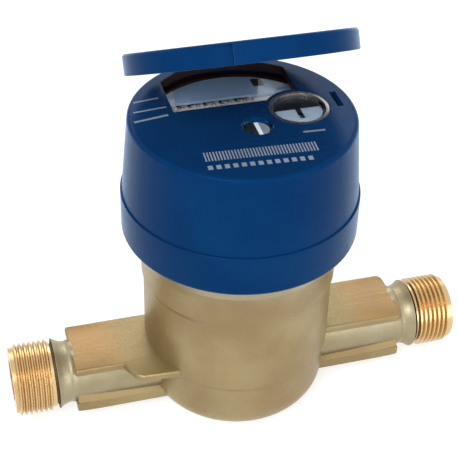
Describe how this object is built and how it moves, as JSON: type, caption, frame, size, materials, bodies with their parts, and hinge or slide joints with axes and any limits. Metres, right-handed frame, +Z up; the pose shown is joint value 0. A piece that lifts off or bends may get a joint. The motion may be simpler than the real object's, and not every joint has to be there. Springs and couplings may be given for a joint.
{
  "type": "water meter",
  "caption": "Rotary-piston water meter: brass body with two threaded pipe ends, magnetically driven counter in a round blue housing, and a hinged lid.",
  "frame": {"origin": "centre of the flat foot under the brass body", "axes": "+Z up along the body's axis, +X along the pipe from inlet to outlet, -Y towards the front of the dial"},
  "size_m": [0.17, 0.083, 0.1616],
  "materials": {
    "brass": "cast, dull",
    "blue_plastic": "satin gloss",
    "dark_plastic": "matte",
    "white_plastic": "matte",
    "frame_plastic": "matte",
    "steel": "turned",
    "rubber": "matte",
    "magnet": "dark, matte",
    "copper": "dull, brown",
    "yellow_brass": "turned",
    "silver": "bright",
    "dial": "grey, matte",
    "glass": "clear"
  },
  "bodies": {
    "meter": {"body": "brass", "strainer": "white_plastic", "chamber_gasket": "rubber", "chamber": "dark_plastic", "division_plate": "steel", "chamber_cover": "dark_plastic", "plate_seal": "rubber", "pressure_plate": "dark_plastic", "retaining_ring": "brass", "skirt": "blue_plastic", "can": "copper", "movement_frame": "frame_plastic", "drum_shaft": "steel", "pinion_shaft": "steel", "dial_plate": "dial", "glass": "glass", "eye_bezel": "copper", "housing": "blue_plastic", "hinge_pin": "steel"},
    "lid": {"lid": "blue_plastic"},
    "spindle": {"spindle": "steel", "drive_magnet": "magnet"},
    "piston": {"piston": "dark_plastic"},
    "follower": {"follower": "white_plastic", "follower_magnet": "magnet"},
    "flow_wheel": {"flow_wheel": "white_plastic"},
    "wheel_1": {"wheel_1": "white_plastic", "worm": "yellow_brass"},
    "wheel_2": {"wheel_2": "white_plastic", "target_disc": "silver"},
    "drum_1": {"drum_1": "white_plastic"},
    "drum_2": {"drum_2": "white_plastic"},
    "drum_3": {"drum_3": "white_plastic"},
    "drum_4": {"drum_4": "white_plastic"},
    "drum_5": {"drum_5": "white_plastic"},
    "pinion_1": {"pinion_1": "yellow_brass"},
    "pinion_2": {"pinion_2": "yellow_brass"},
    "pinion_3": {"pinion_3": "yellow_brass"},
    "pinion_4": {"pinion_4": "yellow_brass"}
  },
  "joints": [
    {"name": "lid_hinge", "type": "hinge", "parent": "meter", "child": "lid", "pos_m": [0, 0.0336, 0.123], "axis": [-1, 0, 0], "range_deg": [-30, 80]},
    {"name": "spindle_turn", "type": "hinge", "parent": "meter", "child": "spindle", "pos_m": [0, 0, 0.062], "axis": [0, 0, 1], "continuous": true},
    {"name": "piston_turn", "type": "hinge", "parent": "spindle", "child": "piston", "pos_m": [0.0043, 0, 0.062], "axis": [0, 0, 1], "continuous": true},
    {"name": "follower_turn", "type": "hinge", "parent": "meter", "child": "follower", "pos_m": [0, 0, 0.09], "axis": [0, 0, 1], "continuous": true},
    {"name": "flow_turn", "type": "hinge", "parent": "meter", "child": "flow_wheel", "pos_m": [0.0026, -0.0083, 0.09], "axis": [0, 0, 1], "continuous": true},
    {"name": "wheel_1_turn", "type": "hinge", "parent": "meter", "child": "wheel_1", "pos_m": [0.01013, 0.01107, 0.093], "axis": [0, 0, 1], "continuous": true},
    {"name": "wheel_2_turn", "type": "hinge", "parent": "meter", "child": "wheel_2", "pos_m": [0.0193, -0.0008, 0.095], "axis": [0, 0, 1], "continuous": true},
    {"name": "drum_1_turn", "type": "hinge", "parent": "meter", "child": "drum_1", "pos_m": [0.00628, 0.018, 0.1063], "axis": [1, 0, 0], "continuous": true},
    {"name": "drum_2_turn", "type": "hinge", "parent": "meter", "child": "drum_2", "pos_m": [0.00068, 0.018, 0.1063], "axis": [1, 0, 0], "continuous": true},
    {"name": "drum_3_turn", "type": "hinge", "parent": "meter", "child": "drum_3", "pos_m": [-0.00492, 0.018, 0.1063], "axis": [1, 0, 0], "continuous": true},
    {"name": "drum_4_turn", "type": "hinge", "parent": "meter", "child": "drum_4", "pos_m": [-0.01052, 0.018, 0.1063], "axis": [1, 0, 0], "continuous": true},
    {"name": "drum_5_turn", "type": "hinge", "parent": "meter", "child": "drum_5", "pos_m": [-0.01612, 0.018, 0.1063], "axis": [1, 0, 0], "continuous": true},
    {"name": "pinion_1_turn", "type": "hinge", "parent": "meter", "child": "pinion_1", "pos_m": [0.00348, 0.02402, 0.1063], "axis": [1, 0, 0], "continuous": true},
    {"name": "pinion_2_turn", "type": "hinge", "parent": "meter", "child": "pinion_2", "pos_m": [-0.00212, 0.02402, 0.1063], "axis": [1, 0, 0], "continuous": true},
    {"name": "pinion_3_turn", "type": "hinge", "parent": "meter", "child": "pinion_3", "pos_m": [-0.00772, 0.02402, 0.1063], "axis": [1, 0, 0], "continuous": true},
    {"name": "pinion_4_turn", "type": "hinge", "parent": "meter", "child": "pinion_4", "pos_m": [-0.01332, 0.02402, 0.1063], "axis": [1, 0, 0], "continuous": true}
  ],
  "couplings": [
    {"joint": "piston_turn", "follows": "spindle_turn", "ratio": -1},
    {"joint": "follower_turn", "follows": "spindle_turn", "ratio": 1},
    {"joint": "flow_turn", "follows": "spindle_turn", "ratio": -0.52632},
    {"joint": "wheel_1_turn", "follows": "spindle_turn", "ratio": -0.25},
    {"joint": "wheel_2_turn", "follows": "spindle_turn", "ratio": 0.0625},
    {"joint": "drum_1_turn", "follows": "spindle_turn", "ratio": -0.015625},
    {"joint": "drum_2_turn", "follows": "spindle_turn", "ratio": -0.0015625},
    {"joint": "drum_3_turn", "follows": "spindle_turn", "ratio": -0.00015625},
    {"joint": "drum_4_turn", "follows": "spindle_turn", "ratio": -0.000015625},
    {"joint": "drum_5_turn", "follows": "spindle_turn", "ratio": -0.0000015625},
    {"joint": "pinion_1_turn", "follows": "spindle_turn", "ratio": 0.0039062},
    {"joint": "pinion_2_turn", "follows": "spindle_turn", "ratio": 0.00039063},
    {"joint": "pinion_3_turn", "follows": "spindle_turn", "ratio": 0.000039063},
    {"joint": "pinion_4_turn", "follows": "spindle_turn", "ratio": 0.0000039063}
  ]
}
